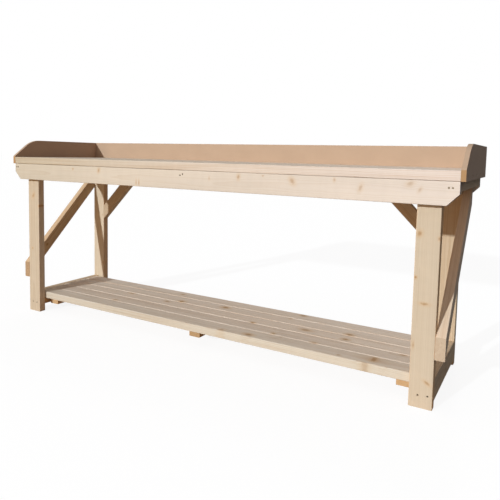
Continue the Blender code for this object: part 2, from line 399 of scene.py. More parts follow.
@dataclass(frozen=True)
class KnotFigure:
    """A knot that grows through a board and turns the grain aside, with its reaches in radii."""

    rim: Grain = Grain((130.0, 190.0, 60.0))
    rim_offset: Run = (-0.35, 0.35)
    heart_step: Run = (0.15, 1.10)
    glow_step: Run = (0.50, 2.30)
    turned_length: float = 3.6
    turned_width: float = 2.4
    turned_step: Run = (0.0, 1.25)
    turned_share: Run = (0.80, 0.0)

    def group(self) -> NodeTree:
        """Make the shader group.

        Returns:
            A group that reads a place in a board and the marks of the knots before it. It puts out the
            place moved along the turned grain, and the marks with this knot's heart and glow added.
        """
        marks = {"Place": "Vector", "Heart": "Float", "Glow": "Float"}
        sizes = dict.fromkeys(("Along", "Across", "Radius", "Stretch", "Turn", "Tone"), "Float")
        sheet = GroupSheet("pine_knot", {**marks, **sizes}, marks)
        given, result = sheet.given, sheet.result
        radius = given["Radius"]
        x, y, z = sheet.split(given["Place"])
        off_x = sheet.math("SUBTRACT", x, given["Along"])
        off_y = sheet.math("SUBTRACT", y, given["Across"])
        cosine = sheet.math("COSINE", given["Turn"])
        sine = sheet.math("SINE", given["Turn"])
        turned_x = sheet.math("ADD", sheet.times(off_x, cosine), sheet.times(off_y, sine))
        turned_y = sheet.math("SUBTRACT", sheet.times(off_y, cosine), sheet.times(off_x, sine))
        far_x = sheet.math("DIVIDE", turned_x, sheet.times(radius, given["Stretch"]))
        far_y = sheet.math("DIVIDE", turned_y, radius)
        ragged = sheet.spread(sheet.speckle(given["Place"], self.rim), self.rim_offset)
        away = sheet.math("ADD", sheet.vector("LENGTH", sheet.join(far_x, far_y, 0.0)), ragged)
        for name, step in (("Heart", self.heart_step), ("Glow", self.glow_step)):
            mark = sheet.times(sheet.smooth(away, step, (1.0, 0.0)), given["Tone"])
            sheet.feed(result[name], sheet.math("MAXIMUM", given[name], mark))
        long_x = sheet.math("DIVIDE", off_x, sheet.times(radius, self.turned_length))
        wide_y = sheet.math("DIVIDE", off_y, sheet.times(radius, self.turned_width))
        near = sheet.vector("LENGTH", sheet.join(long_x, wide_y, 0.0))
        pull = sheet.times(sheet.smooth(near, self.turned_step, self.turned_share), off_y)
        sheet.feed(result["Place"], sheet.join(x, sheet.math("SUBTRACT", y, pull), z))
        return sheet.tree


@dataclass(frozen=True)
class FibreFigure:
    """The pressed fibres of MDF."""

    speck: Grain = Grain((850.0, 850.0, 850.0), 2.5)
    speck_light: Run = (0.93, 1.07)
    speck_roughness: Run = (0.86, 0.98)
    strands: tuple[Grain, Grain] = (Grain((210.0, 900.0, 900.0)), Grain((900.0, 260.0, 260.0)))
    strand_step: Run = (0.60, 0.78)
    strand_light: Run = (1.0, 0.90)
    cloud: Grain = Grain((9.0, 9.0, 14.0), 3.0)
    cloud_light: Run = (0.93, 1.07)
    face_and_edge_relief: Run = (0.35, 1.0)

    def group(self) -> NodeTree:
        """Make the shader group.

        Returns:
            A group that reads a place and a mask for sawn edges, and puts out the board's colour,
            roughness and height.
        """
        inputs = {"Place": "Vector", "Seed": "Float", "Face": "Color", "Sawn": "Color", "Edge": "Float"}
        sheet = GroupSheet("pressed_fibre", inputs, GroupSheet.SURFACE)
        given, result = sheet.given, sheet.result
        place = sheet.vector("ADD", given["Place"], sheet.join(given["Seed"], 0.0, given["Seed"]))
        speck = sheet.speckle(place, self.speck)
        strands = sheet.math("MAXIMUM", *(sheet.speckle(place, strand) for strand in self.strands))
        cloud = sheet.speckle(place, self.cloud)
        light = sheet.times(sheet.spread(speck, self.speck_light), sheet.spread(cloud, self.cloud_light))
        dark = sheet.smooth(strands, self.strand_step)
        shade = sheet.times(light, sheet.spread(dark, self.strand_light))
        base = sheet.blend("MIX", given["Edge"], given["Face"], given["Sawn"])
        sheet.feed(result["Colour"], sheet.blend("MULTIPLY", 1.0, base, sheet.join(shade, shade, shade)))
        sheet.feed(result["Roughness"], sheet.spread(speck, self.speck_roughness))
        relief = sheet.spread(given["Edge"], self.face_and_edge_relief)
        sheet.feed(result["Height"], sheet.times(speck, relief))
        return sheet.tree


@dataclass(frozen=True)
class Groups:
    """The shader groups that the materials share."""

    figure: NodeTree
    knot: NodeTree
    fibre: NodeTree


@dataclass(frozen=True)
class Knot:
    """A knot in a board, from the board's middle along and across the wide face."""

    along: float
    across: float
    radius: float
    tone: float
    stretch: float = 1.2
    turn: float = 0.0


@dataclass(frozen=True)
class PineFinish:
    """Planed, untreated softwood."""

    early: Colour
    late: Colour
    streaks: float = 0.40
    heart: Colour = (0.400, 0.230, 0.110)
    heart_share: float = 0.85
    glow: Colour = (0.650, 0.460, 0.270)
    glow_share: float = 0.70
    end_grain: Colour = (0.72, 0.69, 0.67)
    specular: float = 0.02
    relief: float = 0.00035
    relief_strength: float = 0.6
    seed_stride: float = 1.7

    def material(self, timber: Timber, groups: Groups) -> Material:
        """Make the material of one timber, cut from its own place in a tree.

        Args:
            timber: the timber to dress.
            groups: the shared shader groups.

        Returns:
            The new material.
        """
        sheet = MaterialSheet(f"pine_{timber.node}")
        place = timber.place_in_board(sheet)
        marks: dict[str, Feed] = {"Heart": 0.0, "Glow": 0.0}
        for knot in timber.knots:
            grown = sheet.group(
                groups.knot, Place=place, Along=knot.along, Across=knot.across,
                Radius=knot.radius, Stretch=knot.stretch, Turn=knot.turn, Tone=knot.tone, **marks,
            )
            place = grown.outputs["Place"]
            marks = {name: grown.outputs[name] for name in marks}
        early, late = (tuple(part * timber.tone for part in wood) for wood in (self.early, self.late))
        figure = sheet.group(
            groups.figure, Place=place, Seed=timber.seed * self.seed_stride, Pith=timber.pith,
            Ring_gap=timber.ring_gap, Early_wood=early, Late_wood=late, Streaks=self.streaks,
            Drift=timber.drift,
        )
        wood = figure.outputs["Colour"]
        if timber.knots:
            wood = sheet.blend("MIX", sheet.times(marks["Glow"], self.glow_share), wood, self.glow)
            wood = sheet.blend("MIX", sheet.times(marks["Heart"], self.heart_share), wood, self.heart)
        grain, across, _ = timber.axes
        sawn = sheet.smooth(sheet.squareness(grain), SAWN_STEP)
        wood = sheet.blend("MULTIPLY", sawn, wood, self.end_grain)
        # Painted light and shade: the narrow sides' colour is multiplied by a tint for how light falls
        # on them
        if timber.edge_tint != PLAIN:
            edge = sheet.smooth(sheet.squareness(across), PAINTED_SIDE_STEP)
            wood = sheet.blend("MULTIPLY", edge, wood, timber.edge_tint)
        sheet.coat(wood, figure, self)
        return sheet.material


QUIET_PINE = PineFinish((0.785, 0.700, 0.600), (0.735, 0.635, 0.520), streaks=0.22)
STRIPED_PINE = PineFinish((0.765, 0.675, 0.575), (0.620, 0.475, 0.340), streaks=0.70)
# Painted light: a lighter copy of the slat pine, for the shelf's tops in the worktop's shade
SHELF_PINE_PAINTED_LIGHT = PineFinish((0.810, 0.715, 0.615), (0.650, 0.505, 0.370), streaks=0.70)
# Painted shade: a darker, less red copy of the slat pine, against the warm light on the front slat
FRONT_SLAT_PINE_PAINTED_SHADE = PineFinish((0.738, 0.662, 0.566), (0.602, 0.470, 0.347), streaks=0.70)
HONEY_PINE = PineFinish((0.675, 0.575, 0.445), (0.590, 0.475, 0.340), streaks=0.32)
AMBER_PINE = PineFinish((0.695, 0.550, 0.390), (0.585, 0.420, 0.265))
TAWNY_PINE = PineFinish((0.735, 0.560, 0.378), (0.525, 0.343, 0.192), streaks=0.55)
RESIN_PINE = PineFinish((0.690, 0.500, 0.300), (0.605, 0.400, 0.210), end_grain=(0.97, 0.92, 0.86))
ROSY_PINE = PineFinish(
    (0.790, 0.645, 0.500), (0.610, 0.440, 0.300), streaks=0.50, end_grain=(0.815, 0.805, 0.775)
)


@dataclass(frozen=True)
class FibreboardFinish:
    """Raw MDF with smooth faces, upright edges of one colour and level edges of another."""

    face: Colour = (0.520, 0.376, 0.270)
    upright_edge: Colour = (0.480, 0.295, 0.150)
    level_edge: Colour = (0.505, 0.365, 0.260)
    level_step: Run = (0.15, 0.40)
    specular: float = 0.02
    relief: float = 0.0002
    relief_strength: float = 0.5
    seed_stride: float = 2.3

    def material(self, panel: Panel, groups: Groups) -> Material:
        """Make the material of one panel.

        Args:
            panel: the panel to dress.
            groups: the shared shader groups.

        Returns:
            The new material.
        """
        sheet = MaterialSheet(f"mdf_{panel.node}")
        edge = sheet.smooth(sheet.squareness(panel.through), SAWN_STEP, (1.0, 0.0))
        level = sheet.smooth(sheet.squareness((0.0, 0.0, 1.0)), self.level_step)
        sawn = sheet.blend("MIX", level, self.upright_edge, self.level_edge)
        fibre = sheet.group(
            groups.fibre, Place=sheet.object_place(), Seed=panel.seed * self.seed_stride,
            Face=self.face, Sawn=sawn, Edge=edge,
        )
        sheet.coat(fibre.outputs["Colour"], fibre, self)
        return sheet.material


RAW_MDF = FibreboardFinish()
# Painted light: the left side panel's face is redder, for the warm bounce light in its shade
LEFT_MDF_PAINTED_WARM_SHADE = FibreboardFinish(face=(0.535, 0.350, 0.240))
# Painted light: the right side panel's face is lighter and greyer, for the skylight on its shaded outer
# face
RIGHT_MDF_PAINTED_SKYLIGHT = FibreboardFinish(face=(0.570, 0.430, 0.325))


@dataclass(frozen=True)
class ScrewFinish:
    """Plated steel, dulled by driving; its dark colour is partly the plate's own and partly painted
    shade of the sunk holes.
    """

    # Both colours are partly the plate's own dark and partly painted shade of the sunk holes
    plate: Colour = (0.21, 0.155, 0.095)
    worn: Colour = (0.11, 0.085, 0.055)
    scuffs: Grain = Grain((700.0, 700.0, 700.0), 3.0)
    roughness: Run = (0.52, 0.30)

    def material(self) -> Material:
        """Make the material of the screw heads.

        Returns:
            The new material.
        """
        sheet = MaterialSheet("plated_steel")
        scuffs = sheet.speckle(sheet.object_place(), self.scuffs)
        sheet.feed(sheet.shader["Base Color"], sheet.blend("MIX", scuffs, self.worn, self.plate))
        sheet.feed(sheet.shader["Roughness"], sheet.spread(scuffs, self.roughness))
        sheet.feed(sheet.shader["Metallic"], 1.0)
        return sheet.material


@dataclass(frozen=True)
class ScrewPlace:
    """A screw in a piece: a point on its face and the direction the head looks."""

    point: Vector
    outward: Vector


def middle_of(node: str) -> Vector:
    """Return the middle of a CAD node's box."""
    low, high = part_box(node)
    return (low + high) / 2.0


def put_in_scene(name: str, data: ID) -> Object:
    """Make an object and link it to the scene.

    Args:
        name: name of the object.
        data: its mesh, lamp or camera.

    Returns:
        The new object.
    """
    made = bpy.data.objects.new(name, data)
    bpy.context.scene.collection.objects.link(made)
    return made


def place_shape(name: str, shape: BMesh) -> Object:
    """Make an object of a shape.

    Args:
        name: name of the object and of its mesh.
        shape: the shape, which is used up.

    Returns:
        The new object, in the scene.
    """
    mesh = bpy.data.meshes.new(name)
    shape.to_mesh(mesh)
    shape.free()
    return put_in_scene(name, mesh)


def settle(piece: Object) -> Mesh:
    """Make what an object's modifiers give its own plain mesh.

    Args:
        piece: an object in the scene.

    Returns:
        The object's new mesh.
    """
    plain = bpy.data.meshes.new_from_object(piece.evaluated_get(bpy.context.evaluated_depsgraph_get()))
    piece.modifiers.clear()
    piece.data = plain
    plain.name = piece.name
    return plain


def clean_copy(node: str) -> BMesh:
    """Copy a CAD node's mesh, with its corners merged and its flat faces whole.

    Args:
        node: name of the CAD node.

    Returns:
        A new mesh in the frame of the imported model.
    """
    shape = bmesh.new()
    shape.from_mesh(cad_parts[node].data)
    bmesh.ops.remove_doubles(shape, verts=shape.verts, dist=MERGED_WITHIN)
    bmesh.ops.dissolve_limit(shape, angle_limit=FLAT_BELOW, verts=shape.verts, edges=shape.edges)
    return shape


def ease_edges(shape: BMesh, width: float) -> None:
    """Take a sharp edge off where two faces meet steeply.

    Args:
        shape: the mesh to ease.
        width: how far the easing reaches from the edge.
    """
    steep = [edge for edge in shape.edges if edge.is_manifold and edge.calc_face_angle() > EASED_ABOVE]
    bmesh.ops.bevel(
        shape, geom=steep, offset=width, segments=2, profile=0.5, affect="EDGES", clamp_overlap=True
    )


def keep_flat(mesh: Mesh) -> None:
    """Let the large flat faces of a mesh keep their own normals up to their edges.

    Args:
        mesh: the mesh to mend.
    """
    normals = [corner.vector.copy() for corner in mesh.corner_normals]
    for face in mesh.polygons:
        if face.area > LARGE_FACE:
            for corner in face.loop_indices:
                normals[corner] = face.normal
    mesh.normals_split_custom_set(normals)


@dataclass(frozen=True)
class Screw:
    """A countersunk wood screw with a cross recess, driven a little below the face."""

    # Where a Random Value node has its highest number and the number that it draws
    CHANCE_MOST = 3
    CHANCE_VALUE = 1

    head_radius: float = 0.0037
    shank_radius: float = 0.0018
    head_depth: float = 0.0024
    slot_length: float = 0.0042
    slot_width: float = 0.0011
    slot_depth: float = 0.0016
    sides: int = 20
    turn_seed: int = 4
    sink: float = 0.0016
    hole_radius: float = 0.0039
    hole_play: float = 0.0004
    drill_lead: float = 0.002

    def drill(self, cutter: BMesh, place: ScrewPlace) -> None:
        """Add the hole of one screw to a cutter: a short bore above a cone.

        Args:
            cutter: the mesh that takes the hole.
            place: where the screw goes.
        """
        turn = place.outward.to_track_quat("Z", "Y").to_matrix().to_4x4()
        to_face = Matrix.Translation(place.point) @ turn
        rings = (
            (self.hole_radius, self.drill_lead),
            (self.hole_radius, -self.sink),
            (self.shank_radius, -self.sink - self.head_depth - self.hole_play),
        )
        loops = []
        for radius, height in rings:
            circle = bmesh.ops.create_circle(cutter, cap_ends=False, radius=radius, segments=self.sides)
            level = to_face @ Matrix.Translation((0.0, 0.0, height))
            bmesh.ops.transform(cutter, matrix=level, verts=circle["verts"])
            loops.append(circle["verts"])
        for upper, lower in zip(loops, loops[1:]):
            for index in range(self.sides):
                after = (index + 1) % self.sides
                cutter.faces.new((upper[index], lower[index], lower[after], upper[after]))
        cutter.faces.new(loops[0])
        cutter.faces.new(tuple(reversed(loops[-1])))

    def head_sizes(self) -> dict[str, float]:
        """Return the head's sizes by the names of the tree's inputs."""
        names = ("Head radius", "Shank radius", "Head depth", "Slot length", "Slot width", "Slot depth")
        return {name: getattr(self, name.lower().replace(" ", "_")) for name in names}

    def head_nodes(self, sheet: GroupSheet) -> NodeSocket:
        """Add the nodes of one head: a cone with a cross cut into it.

        Args:
            sheet: the group that takes the nodes.

        Returns:
            The head's mesh, with its top at the origin.
        """
        given = sheet.given
        sizes = {
            "Vertices": given["Sides"], "Radius Top": given["Head radius"],
            "Radius Bottom": given["Shank radius"], "Depth": given["Head depth"],
        }
        cone = sheet.node("GeometryNodeMeshCone", fill_type="NGON", inputs=sizes)
        down = sheet.join(0.0, 0.0, sheet.times(given["Head depth"], -1.0))
        head = sheet.node("GeometryNodeTransform", cone.outputs["Mesh"], inputs={"Translation": down})
        cut = sheet.node("GeometryNodeMeshBoolean", operation="DIFFERENCE", solver="EXACT")
        sheet.feed(cut.inputs["Mesh 1"], head.outputs["Geometry"])
        length, width = given["Slot length"], given["Slot width"]
        deep = sheet.times(given["Slot depth"], 2.0)
        for size in ((length, width, deep), (width, length, deep)):
            bar = sheet.node("GeometryNodeMeshCube", sheet.join(*size))
            sheet.feed(cut.inputs["Mesh 2"], bar.outputs["Mesh"])
        return cut.outputs["Mesh"]

    def turn_nodes(self, sheet: GroupSheet) -> NodeSocket:
        """Add the nodes that aim a head outwards and spin it by chance.

        Args:
            sheet: the group that takes the nodes.

        Returns:
            The head's rotation.
        """
        outward = sheet.node("GeometryNodeInputNamedAttribute", data_type="FLOAT_VECTOR")
        outward.inputs["Name"].default_value = "outward"
        way = {"Vector": outward.outputs["Attribute"]}
        aim = sheet.node("FunctionNodeAlignRotationToVector", axis="Z", inputs=way)
        bounds = {self.CHANCE_MOST: math.pi, "Seed": sheet.given["Seed"]}
        chance = sheet.node("FunctionNodeRandomValue", data_type="FLOAT", inputs=bounds)
        angle = chance.outputs[self.CHANCE_VALUE]
        spin = sheet.node("FunctionNodeAxisAngleToRotation", (0.0, 0.0, 1.0), angle)
        turns = {"Rotation": aim.outputs["Rotation"], "Rotate By": spin.outputs["Rotation"]}
        return sheet.node("FunctionNodeRotateRotation", rotation_space="LOCAL", inputs=turns).outputs[0]

    def heads_tree(self) -> NodeTree:
        """Make the Geometry Nodes tree that sets a screw head on each point.

        Returns:
            A tree with named inputs for the head's sizes, a seed for its turn and a material.
        """
        inputs = {
            "Geometry": "Geometry", **dict.fromkeys(self.head_sizes(), "Float"),
            "Sides": "Int", "Seed": "Int", "Material": "Material",
        }
        sheet = GroupSheet("screw_heads", inputs, {"Geometry": "Geometry"}, "GeometryNodeTree")
        given = sheet.given
        heads = {
            "Points": given["Geometry"],
            "Instance": self.head_nodes(sheet),
            "Rotation": self.turn_nodes(sheet),
        }
        placed = sheet.node("GeometryNodeInstanceOnPoints", inputs=heads)
        real = sheet.node("GeometryNodeRealizeInstances", placed.outputs["Instances"])
        steel = {"Material": given["Material"]}
        dressed = sheet.node("GeometryNodeSetMaterial", real.outputs["Geometry"], inputs=steel)
        sheet.feed(sheet.result["Geometry"], dressed.outputs["Geometry"])
        return sheet.tree

    def set_heads(self, places: Sequence[ScrewPlace], steel: Material) -> Object:
        """Set a head in every hole and make the heads one plain mesh.

        Args:
            places: where the screws are.
            steel: the heads' material.

        Returns:
            One object that holds all the heads.
        """
        seats = bpy.data.meshes.new("screw_seats")
        seats.from_pydata([place.point - place.outward * self.sink for place in places], [], [])
        outward = seats.attributes.new("outward", "FLOAT_VECTOR", "POINT")
        for index, place in enumerate(places):
            outward.data[index].vector = place.outward
        piece = put_in_scene("wood_screws", seats)
        setter = piece.modifiers.new("Screw heads", "NODES")
        setter.node_group = self.heads_tree()
        values = {**self.head_sizes(), "Sides": self.sides, "Seed": self.turn_seed, "Material": steel}
        for socket in setter.node_group.interface.items_tree:
            if socket.in_out == "INPUT" and socket.name in values:
                setter[socket.identifier] = values[socket.name]
        settle(piece)
        return piece


@dataclass
class Piece:
    """A piece of the bench that stands for one CAD node."""

    node: str
    seed: int
    screws: list[ScrewPlace] = field(default_factory=list, init=False)

    def bore(self, point: Sequence[float], outward: Sequence[float]) -> None:
        """Drive a screw into a point of the piece's face, with its head looking outward."""
        self.screws.append(ScrewPlace(Vector(point), Vector(outward).normalized()))

    def weather(self, body: BMesh) -> None:
        """Leave the shape as it was cut."""

    def cut_holes(self, piece: Object, screw: Screw) -> Object:
        """Let a cutter drill the screw holes.

        Args:
            piece: the fine copy, which gets the cutting modifier.
            screw: the screw that fits the holes.

        Returns:
            The cutter, which can go once the modifier has been settled.
        """
        holes = bmesh.new()
        for place in self.screws:
            screw.drill(holes, place)
        bmesh.ops.recalc_face_normals(holes, faces=holes.faces)
        drill = piece.modifiers.new("Screw holes", "BOOLEAN")
        drill.operation = "DIFFERENCE"
        drill.solver = "EXACT"
        drill.object = place_shape(f"{piece.name}_holes", holes)
        return drill.object

    def shape(self, name: str, easing: float, screw: Screw) -> Object:
        """Make the fine copy of the CAD node.

        Args:
            name: name of the new object.
            easing: how far its sharp edges are taken off.
            screw: the screw that fits its holes.

        Returns:
            The new object, in place, in the scene.
        """
        body = clean_copy(self.node)
        ease_edges(body, easing)
        self.weather(body)
        piece = place_shape(name, body)
        piece.data.shade_smooth()
        piece.data.set_sharp_from_angle(angle=SHARP_ABOVE)
        cutter = self.cut_holes(piece, screw) if self.screws else None
        flat = piece.modifiers.new("Flat faces", "WEIGHTED_NORMAL")
        flat.keep_sharp = True
        flat.weight = FACE_WEIGHT
        keep_flat(settle(piece))
        if cutter:
            bpy.data.objects.remove(cutter, do_unlink=True)
        return piece

    def mount(self, piece: Object, material: Material, slot: Slot) -> None:
        """Give the copy its material and let it stand for its node.

        Args:
            piece: the fine copy.
            material: its finish.
            slot: the record's slot of that finish; it is not used.
        """
        piece.data.materials.clear()
        piece.data.materials.append(material)
        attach(piece, BODY)
        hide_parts(self.node)
        LOG.info("%s: %d faces, %d screws", piece.name, len(piece.data.polygons), len(self.screws))


@dataclass(frozen=True)
class Growth:
    """Bounds between which chance draws a timber's figure and its strewn knots."""

    pith_aside: Run = (-0.030, 0.030)
    pith_depth: Run = (0.012, 0.060)
    ring_gap: Run = (0.0026, 0.0046)
    tone: Run = (0.965, 1.030)
    knot_seed: int = 500
    first_knot: Run = (0.2, 1.0)
    next_knot: Run = (0.45, 1.55)
    knot_across: Run = (-0.42, 0.42)
    knot_radius: Run = (0.0040, 0.0085)
    knot_tone: Run = (0.40, 0.85)
    knot_stretch: Run = (1.0, 1.7)
    knot_turn: Run = (-1.5, 1.5)


GROWTH = Growth()


@dataclass
class Timber(Piece):
    """A length of planed softwood, cut from its own place in a tree."""

    axes: tuple[Sequence[float], ...]
    finish: PineFinish
    tone: float = 1.0
    drift: Colour = (0.0, 0.0, 0.0)
    # Painted light and shade of the narrow sides, multiplied into their colour
    edge_tint: Colour = PLAIN
    knots: list[Knot] = field(default_factory=list, init=False)
    pith: Triple = field(init=False)
    ring_gap: float = field(init=False)

    def __post_init__(self) -> None:
        """Choose the timber's pith, ring gap and tone from its seed."""
        chance = random.Random(self.seed)
        side = chance.choice((-1.0, 1.0))
        self.pith = (0.0, chance.uniform(*GROWTH.pith_aside), side * chance.uniform(*GROWTH.pith_depth))
        self.ring_gap = chance.uniform(*GROWTH.ring_gap)
        self.tone *= chance.uniform(*GROWTH.tone)

    def strew_knots(self, spacing: float, width: float) -> None:
        """Grow small knots along the board by chance.

        Args:
            spacing: mean distance between knots.
            width: width of the board.
        """
        chance = random.Random(self.seed + GROWTH.knot_seed)
        bounds = (GROWTH.knot_radius, GROWTH.knot_tone, GROWTH.knot_stretch, GROWTH.knot_turn)
        low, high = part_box(self.node)
        half = (high - low).length / 2.0
        along = -half + chance.uniform(*GROWTH.first_knot) * spacing
        while along < half:
            across = chance.uniform(*GROWTH.knot_across) * width
            self.knots.append(Knot(along, across, *(chance.uniform(*bound) for bound in bounds)))
            along += spacing * chance.uniform(*GROWTH.next_knot)

    def place_knots(self, plane: str, knots: Rows) -> None:
        """Grow knots at points of the bench.

        Args:
            plane: the two axes along which the points are given.
            knots: each knot's two coordinates, radius, tone, stretch and turn from the grain.
        """
        middle = middle_of(self.node)
        for first, second, *shape in knots:
            point = middle.copy()
            setattr(point, plane, (first, second))
            along, across = ((point - middle).dot(Vector(axis)) for axis in self.axes[:2])
            self.knots.append(Knot(along, across, *shape))

    def place_in_board(self, sheet: NodeSheet) -> NodeSocket:
        """Turn the bench's coordinates into the board's own.

        Args:
            sheet: the nodes of the timber's material.

        Returns:
            Coordinates along, across and through the board from its middle.
        """
        turn = Matrix([Vector(axis).normalized() for axis in self.axes]).transposed()
        board = {"Location": middle_of(self.node), "Rotation": turn.to_euler()}
        place = sheet.object_place()
        mapping = sheet.node("ShaderNodeMapping", place, inputs=board, vector_type="TEXTURE")
        return mapping.outputs["Vector"]


@dataclass
class FrontBoard(Timber):
    """The worktop's front board, whose uneven lower front arris shows a thin seam over the apron."""

    lift: float = 0.0006
    quick_share: float = 0.5
    reach: float = 0.014
    arris: float = 0.0045
    step: float = 0.010
    waves: Run = (9.3, 31.0)

    def weather(self, body: BMesh) -> None:
        """Let the lower front arris wander upwards.

        Args:
            body: the board's shape, which is changed.
        """
        low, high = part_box(self.node)
        count = int((high.x - low.x) / self.step)
        cuts = [low.x + (high.x - low.x) * index / count for index in range(1, count)]
        planes = [((x, 0.0, 0.0), (1.0, 0.0, 0.0)) for x in cuts]
        planes.append(((0.0, low.y + self.reach, 0.0), (0.0, 1.0, 0.0)))
        for point, normal in planes:
            every = [*body.verts, *body.edges, *body.faces]
            bmesh.ops.bisect_plane(body, geom=every, dist=CUT_WITHIN, plane_co=point, plane_no=normal)
        for corner in body.verts:
            x, y, z = corner.co
            if z < low.z + self.arris and y < low.y + self.reach / 2.0:
                slow, quick = (noise.noise(Vector((x * wave, 0.0, wave))) for wave in self.waves)
                wander = slow + self.quick_share * quick
                corner.co.z += self.lift * max(1.0 + wander, 0.0)


@dataclass
class Slat(Timber):
    """A slat of the shelf, with its upper front arris rounded over further than the others."""

    arris: float = 0.0035
    rounding: float = 1.8

    def weather(self, body: BMesh) -> None:
        """Widen the rounding of the upper front arris.

        Args:
            body: the slat's shape, which is changed.
        """
        low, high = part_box(self.node)
        for corner in body.verts:
            back, down = corner.co.y - low.y, high.z - corner.co.z
            if back < self.arris and down < self.arris:
                corner.co.y = low.y + back * self.rounding
                corner.co.z = high.z - down * self.rounding


@dataclass
class Panel(Piece):
    """A panel of MDF."""

    through: Triple
    finish: FibreboardFinish = RAW_MDF


@dataclass
class Worktop:
    """Boards laid side by side along the bench, screwed down to the cross rails."""

    boards: int = 7
    first_seed: int = 11
    knot_spacing: float = 0.36
    screw_inset: float = 0.020
    rails: tuple[str, ...] = ("left_top_rail", "middle_top_rail", "right_top_rail")
    drift: Colour = (0.10, 0.10, 0.12)
    front_drift: Colour = (0.155, 0.155, 0.220)
    front_tone: float = 0.930

    def timbers(self) -> list[Timber]:
        """Make the boards.

        Returns:
            The boards from front to back.
        """
        made = []
        for index in range(self.boards):
            kind, tone, drift = Timber, 1.0, self.drift
            if index == 0:
                kind, tone, drift = FrontBoard, self.front_tone, self.front_drift
            name = f"worktop_board_{index + 1}"
            board = kind(name, self.first_seed + index, Lie.FLAT_ALONG.value, STRIPED_PINE, tone, drift)
            board.strew_knots(self.knot_spacing, WIDE_STOCK)
            low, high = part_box(board.node)
            for rail in self.rails:
                for depth in (low.y + self.screw_inset, high.y - self.screw_inset):
                    board.bore((middle_of(rail).x, depth, high.z), (0, 0, 1))
            made.append(board)
        return made


@dataclass
class Aprons:
    """The long boards on edge under the worktop's front and back, screwed to the cross rails' ends.

    A screw at an end has its distance from that end and from the top, and one at the middle its place
    along the bench and its distance from the top.
    """

    front_seed: int = 31
    back_seed: int = 32
    drift: Colour = (0.10, 0.10, 0.14)
    front_tone: float = 0.935
    knot_spacing: float = 0.30
    end_screws: dict[Side, Rows] = field(
        default_factory=lambda: {
            Side.LEFT: ((0.0120, 0.0185), (0.0245, 0.0190)),
            Side.RIGHT: ((0.0240, 0.0235), (0.0377, 0.0235)),
        }
    )
    middle_screws: Rows = ((-0.0139, 0.0239), (0.0007, 0.0177))
    front_knots: Rows = (
        (-0.737, 0.855, 0.0045, 0.70, 1.3, 1.2),
        (-0.544, 0.854, 0.0085, 0.65, 1.5, 1.2),
        (-0.286, 0.803, 0.0032, 0.65, 4.5, ACROSS),
        (-0.268, 0.801, 0.0034, 0.75, 4.5, ACROSS),
        (0.152, 0.841, 0.0040, 0.35, 2.2, ACROSS),
        (0.307, 0.853, 0.0080, 0.58, 1.5, 1.4),
        (0.430, 0.8625, 0.0035, 0.50, 1.3, 0.0),
        (0.568, 0.846, 0.0110, 0.55, 1.5, 2.2),
        (0.752, 0.859, 0.0050, 0.45, 1.6, ACROSS),
        (0.860, 0.833, 0.0080, 0.42, 1.9, 1.2),
        (1.047, 0.857, 0.0095, 0.36, 1.6, 0.4),
        (1.083, 0.836, 0.0060, 0.34, 1.8, 1.0),
    )

    def timbers(self) -> list[Timber]:
        """Make the aprons.

        Returns:
            The front apron and the back apron.
        """
        lie = Lie.EDGE_ALONG.value
        front = Timber("front_apron", self.front_seed, lie, QUIET_PINE, self.front_tone, self.drift)
        front.place_knots("xz", self.front_knots)
        back = Timber("back_apron", self.back_seed, lie, QUIET_PINE)
        back.strew_knots(self.knot_spacing, WIDE_STOCK)
        for apron, outward in ((front, -1.0), (back, 1.0)):
            low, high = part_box(apron.node)
            face = low.y if outward < 0.0 else high.y
            for side, places in self.end_screws.items():
                for inset, drop in places:
                    apron.bore((side.value * (high.x - inset), face, high.z - drop), (0, outward, 0))
            for x, drop in self.middle_screws:
                apron.bore((x, face, high.z - drop), (0, outward, 0))
        return [front, back]


